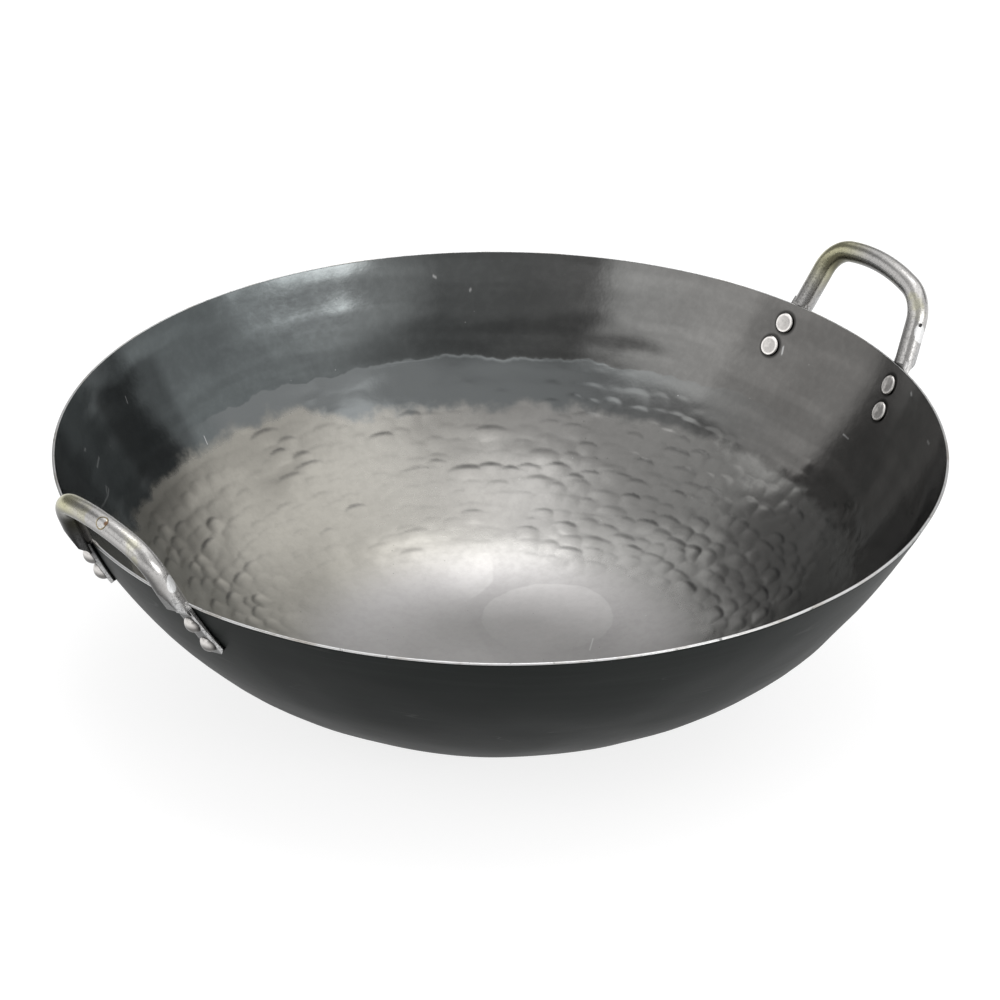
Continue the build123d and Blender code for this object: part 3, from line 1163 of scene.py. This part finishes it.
# %% Mix the plating
zinc_dark = grey(0.40, 0.01)
zinc_light = grey(0.56, 0.03)
zinc_yellow = (0.50, 0.48, 0.28, 1)
tinted_bend = (259 * mm, 36 * mm, 165 * mm)
tint_reach = (34 * mm, 8 * mm)
tint_height = (140 * mm, 156 * mm)
tint_share = 0.8
loose_tint_share = 0.5
# Heights below which the legs' sides get their full painted shade, and above which none
side_shade_heights = (168 * mm, 154 * mm)


class TubeFinish(MetalFinish):
    """A finish that also knows its patterns and which way the tube's surface faces."""

    def __init__(self, block):
        super().__init__(block)
        self.x, self.y, self.z = self.axes()
        self.out = self.math("ABSOLUTE", self.x)
        normal = self.tree.nodes.new("ShaderNodeTexCoord").outputs["Normal"]
        self.facing_x, _, self.facing_z = self.axes(normal)
        self.cloud = self.noise(14 * mm, detail=4.0, rough=0.6)
        self.fine = self.noise(1.1 * mm, detail=4.0, rough=0.7)


def plating(paint):
    """Silver-grey zinc: speckled, tinted in the far bends, with painted shade on the legs' sides and below.
    """
    colour = paint.mix(paint.cloud, zinc_dark, zinc_light)
    tint = paint.between(paint.away(tinted_bend, paint.joined(paint.out, paint.y, paint.z)), *tint_reach)
    loose = paint.between(paint.noise(20 * mm), 0.52, 0.64)
    loose = paint.product(loose, loose_tint_share, paint.between(paint.z, *tint_height))
    tint = paint.product(paint.math("MAXIMUM", tint, loose), tint_share)
    colour = paint.dappled(paint.mix(tint, colour, zinc_yellow), (paint.fine, 0.44, 0.66, 0.76))
    spots = paint.specks(size=2.6 * mm, radius=0.5 * mm, patch=9 * mm, start=0.42, full=0.56)
    colour = paint.shaded(colour, spots, level=0.2)
    # Painted shade on the sides of the legs
    aside = paint.total(paint.math("ABSOLUTE", paint.facing_x), paint.scaled(paint.fine, -0.15, 0.15))
    aside = paint.product(paint.between(aside, 0.55, 1.0), paint.between(paint.z, *side_shade_heights))
    colour = paint.shaded(colour, aside, level=0.4)
    # Painted shade where the tube faces downward
    under = paint.total(paint.facing_z, paint.scaled(paint.fine, -0.2, 0.2))
    return paint.dappled(colour, (under, 0.2, -0.55, 0.22))


print("zinc from grey", round(zinc_dark[1], 2), "to", round(zinc_light[1], 2))

# %% [markdown]
# Below the rim the flattened ends get a painted shade where they face outward, and only their
# folded edges stay bright. The far leg of the left handle gets a painted shadow further up. An
# edge is found by its distance from the middle of its leg, and the legs lean together, so that
# middle shifts with height.

# %% Darken the flattened ends
tab_top = 149 * mm
tab_fade = 14 * mm
tab_half_width = 6 * mm
fold_start_share = 0.66
fold_full_share = 0.9
# Painted shade of the flattened ends, and the grey their folded edges keep
end_shade_dark = grey(0.085)
fold_bright = grey(0.5)
# Middle of the painted shadow on the far leg of the left handle, and its reach
shaded_leg = (-257 * mm, 48 * mm, 136 * mm)
leg_shadow_reach = (38 * mm, 20 * mm)
# Sideways distance of a leg from the middle at the rim, and how much it shrinks with height
leg_aside = 44.5 * mm
leg_lean_share = 0.192


def shaded_ends(paint, colour):
    """The flattened ends: painted shade where they face outward, bright folded edges, and a painted shadow on
    the far leg.
    """
    risen = paint.product(paint.math("SUBTRACT", paint.z, rim_height), leg_lean_share)
    leg = paint.math("SUBTRACT", leg_aside, risen)
    from_leg = paint.math("ABSOLUTE", paint.math("SUBTRACT", paint.math("ABSOLUTE", paint.y), leg))
    fold = paint.between(from_leg, fold_start_share * tab_half_width, fold_full_share * tab_half_width)
    end_shade = paint.dappled(paint.mix(fold, end_shade_dark, fold_bright), (paint.fine, 0.42, 0.62, 0.5))
    facing_out = paint.between(paint.math("MULTIPLY", paint.facing_x, paint.math("SIGN", paint.x)), -0.4, 0.3)
    # Painted shade on the ends' outward faces below the rim
    tab = paint.product(paint.between(paint.z, tab_top, tab_top - tab_fade), facing_out)
    # Painted shadow on the far leg of the left handle
    leg_shadow = paint.between(paint.away(shaded_leg), *leg_shadow_reach)
    return paint.shaded(paint.mix(tab, colour, end_shade), leg_shadow, level=0.14)


print("dark below a height in mm:", round(tab_top / mm))

# %% [markdown]
# The near leg of each handle has a small punched flat with a hole in it, and the crown of the
# left loop has a round mark with rust at its edge. Both are too small to change the tube's
# outline, so they are masks: they set colour, roughness and a little relief. The flat's pale
# colour is a painted highlight and the hole's black is painted shade. The flat is longer than
# wide, so its place is squeezed in height before the distance is taken.

# %% Mark the punched flat and the crown
flat_stretch = 0.62
punched_flat = (246.8 * mm, -46.9 * mm, 149.5 * flat_stretch * mm)
punched_hole = (247.6 * mm, -46.4 * mm, 154.2 * mm)
punch_shift = 1.4 * mm
flat_reach = (3.7 * mm, 3.2 * mm)
hole_reach = (1.3 * mm, 0.7 * mm)
crown_mark = (-263.1 * mm, -8.7 * mm, 174.0 * mm)
crown_mark_radius = 3.5 * mm
crown_ring = 0.65 * mm
crown_rust = (-262.3 * mm, -11.6 * mm, 174.5 * mm)
rust_reach = (2.0 * mm, 0.8 * mm)


def punched(paint):
    """Where the punched flat and its hole are."""
    out = paint.math("SUBTRACT", paint.out, paint.product(paint.math("SIGN", paint.x), punch_shift))
    squeezed = paint.joined(out, paint.y, paint.math("MULTIPLY", paint.z, flat_stretch))
    flat = paint.between(paint.away(punched_flat, squeezed), *flat_reach)
    hole = paint.between(paint.away(punched_hole, paint.joined(out, paint.y, paint.z)), *hole_reach)
    return flat, hole


def crown_marks(paint):
    """Where the round mark's ring, its pale middle and its rust are."""
    from_mark = paint.away(crown_mark)
    ring = paint.line(from_mark, crown_mark_radius, crown_ring)
    pale = paint.between(from_mark, crown_mark_radius, crown_mark_radius - 0.5 * mm)
    rust = paint.between(paint.away(crown_rust), *rust_reach)
    return ring, pale, rust


print("crown mark in mm:", [round(value / mm, 1) for value in crown_mark])

# %% Put the tube's finish together
# Painted highlight of the punched flat
flat_highlight = grey(0.74)
flat_roughness = 0.5
ring_yellow = (0.24, 0.18, 0.06, 1)
ring_share = 0.9
rust_brown = (0.17, 0.09, 0.04, 1)
rust_metallic = 0.2


def tube_steel():
    """Zinc plated tube: speckled and tinted in the bends, with painted shade on its ends and a painted
    highlight on the punched flat.
    """
    paint = TubeFinish.paint("tube_steel")
    flat, hole = punched(paint)
    ring, pale, rust = crown_marks(paint)
    colour = shaded_ends(paint, plating(paint))
    # Painted highlight on the punched flat and painted shade in its hole
    colour = paint.shaded(paint.mix(flat, colour, flat_highlight), hole, level=0.05)
    colour = paint.shaded(colour, pale, level=1.25)
    colour = paint.mix(paint.product(ring, ring_share), colour, ring_yellow)
    colour = paint.mix(rust, colour, rust_brown)
    roughness = paint.total(paint.scaled(paint.cloud, 0.2, 0.32), paint.scaled(paint.fine, -0.06, 0.1))
    roughness = paint.math("MAXIMUM", roughness, paint.product(flat, flat_roughness))
    relief = paint.bump(paint.fine, depth=0.03 * mm)
    relief = paint.bump(paint.noise(5 * mm, detail=2.0), depth=0.12 * mm, under=relief)
    relief = paint.bump(ring, depth=-0.2 * mm, under=relief)
    relief = paint.bump(hole, depth=-0.8 * mm, under=relief)
    paint.surface(
        Base_Color=colour,
        Metallic=paint.scaled(rust, 1.0, rust_metallic),
        Roughness=roughness,
        Normal=relief,
    )
    return paint.block


tube = tube_steel()
print("nodes in the tube's finish:", len(tube.node_tree.nodes))

# %% [markdown]
# ## The rivets
#
# A rivet's outer head was set with a few blows and has small bright flats. The inner head lies
# flat on the wall, with a shallow dish where the tool pressed it. The edge of that dish gets a
# painted highlight and its middle a painted shade, with a painted shadow round the head. Both
# are soft bare steel, a little paler than the tube. A painted shade darkens the foot of the outer head, where
# it meets the tab, and faces that turn downward.
#
# The dish and its bright lip are circles round the middle of the inner head's face. That
# middle could be typed in, but it is safer to find it on the measured rivet. The spread of its
# points gives three axes, and the one that points most nearly out of the wall is the rivet's
# own. The face is the part furthest inward along it.

# %% Find the face of an inner head
wall_out = np.array([sin(rim_slope), 0.0, -cos(rim_slope)])
face_depth = 0.2 * mm


def inner_face(name):
    """Middle of the face of a rivet's inner head, found along the rivet's own axis."""
    points = np.array([vertex.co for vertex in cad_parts[name].data.vertices])
    axes = np.linalg.svd(points - points.mean(axis=0), full_matrices=False)[2]
    axis = axes[np.abs(axes @ wall_out).argmax()]
    out = points @ axis * np.sign(axis @ wall_out)
    return points[out < out.min() + face_depth].mean(axis=0)


head_faces = [inner_face("rivet_right_back_" + place).tolist() for place in ("upper", "lower")]
print("faces in mm:", [[round(value / mm, 1) for value in face] for face in head_faces])

# %% Mix the rivets' finish
head_dark = grey(0.54, 0.04)
head_bright = grey(0.74, 0.03)
dish_edge = 4.1 * mm
head_edge = 5.2 * mm
lip_highlight_reach = 0.8 * mm
outline_shadow_reach = 0.5 * mm
# How far outward the foot of an outer head faces, and the reach and level of its painted shade
shaded_foot_facing = 0.2
foot_shade_reach = 0.45
foot_shade_level = 0.12


def rivet_steel():
    """Bare soft steel with small flats, a grey bloom, painted highlights on the inner heads' edges and
    painted shade.
    """
    paint = PanFinish.paint("rivet_steel")
    cloud = paint.noise(3 * mm, detail=4.0, rough=0.65)
    fine = paint.noise(0.7 * mm, rough=0.6)
    normal = paint.tree.nodes.new("ShaderNodeTexCoord").outputs["Normal"]
    facing_x, _, facing_z = paint.axes(normal)
    colour = paint.mix(cloud, head_dark, head_bright)
    for face in head_faces:
        reach = paint.away(face, paint.folded)
        # Painted shade in the dish, a painted highlight on its lip and a painted shadow round the head
        dish = paint.between(reach, dish_edge + 0.3 * mm, dish_edge - 0.6 * mm)
        lip_highlight = paint.line(reach, (dish_edge + head_edge) / 2, lip_highlight_reach)
        outline_shadow = paint.line(reach, head_edge + outline_shadow_reach, outline_shadow_reach)
        for mask, level in ((dish, 0.8), (lip_highlight, 1.4), (outline_shadow, 0.3)):
            colour = paint.shaded(colour, mask, level)
    # Painted shade on faces that turn downward
    under = paint.total(facing_z, paint.scaled(fine, -0.2, 0.2))
    colour = paint.dappled(colour, (fine, 0.5, 0.75, 0.72), (under, 0.25, -0.4, 0.25))
    # Painted shade at the foot of the outer head, where it meets the tab
    sideways = paint.product(facing_x, paint.math("SIGN", paint.axes()[0]), float(wall_out[0]))
    outward = paint.total(sideways, paint.product(facing_z, float(wall_out[2])))
    colour = paint.shaded(colour, paint.line(outward, shaded_foot_facing, foot_shade_reach), foot_shade_level)
    roughness = paint.scaled(cloud, 0.24, 0.42)
    flats = paint.bump(paint.noise(2.6 * mm, detail=1.0, rough=0.4), depth=0.25 * mm)
    relief = paint.bump(fine, depth=0.02 * mm, under=flats)
    paint.surface(Base_Color=colour, Metallic=1.0, Roughness=roughness, Normal=relief)
    return paint.block


rivet = rivet_steel()
print("nodes in the rivets' finish:", len(rivet.node_tree.nodes))

# %% [markdown] ## Dressing the measured pieces  Handles and rivets keep their measured
# meshes.

# %% Dress the handles and rivets
for name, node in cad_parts.items():
    if name != "bowl":
        is_handle = name.startswith("handle")
        node.data.materials.clear()
        node.data.materials.append(tube if is_handle else rivet)
print("pieces with a finish:", len(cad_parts))

# %% [markdown] ## Closing the scene The scene now holds the forged bowl and the dressed
# handles and rivets.
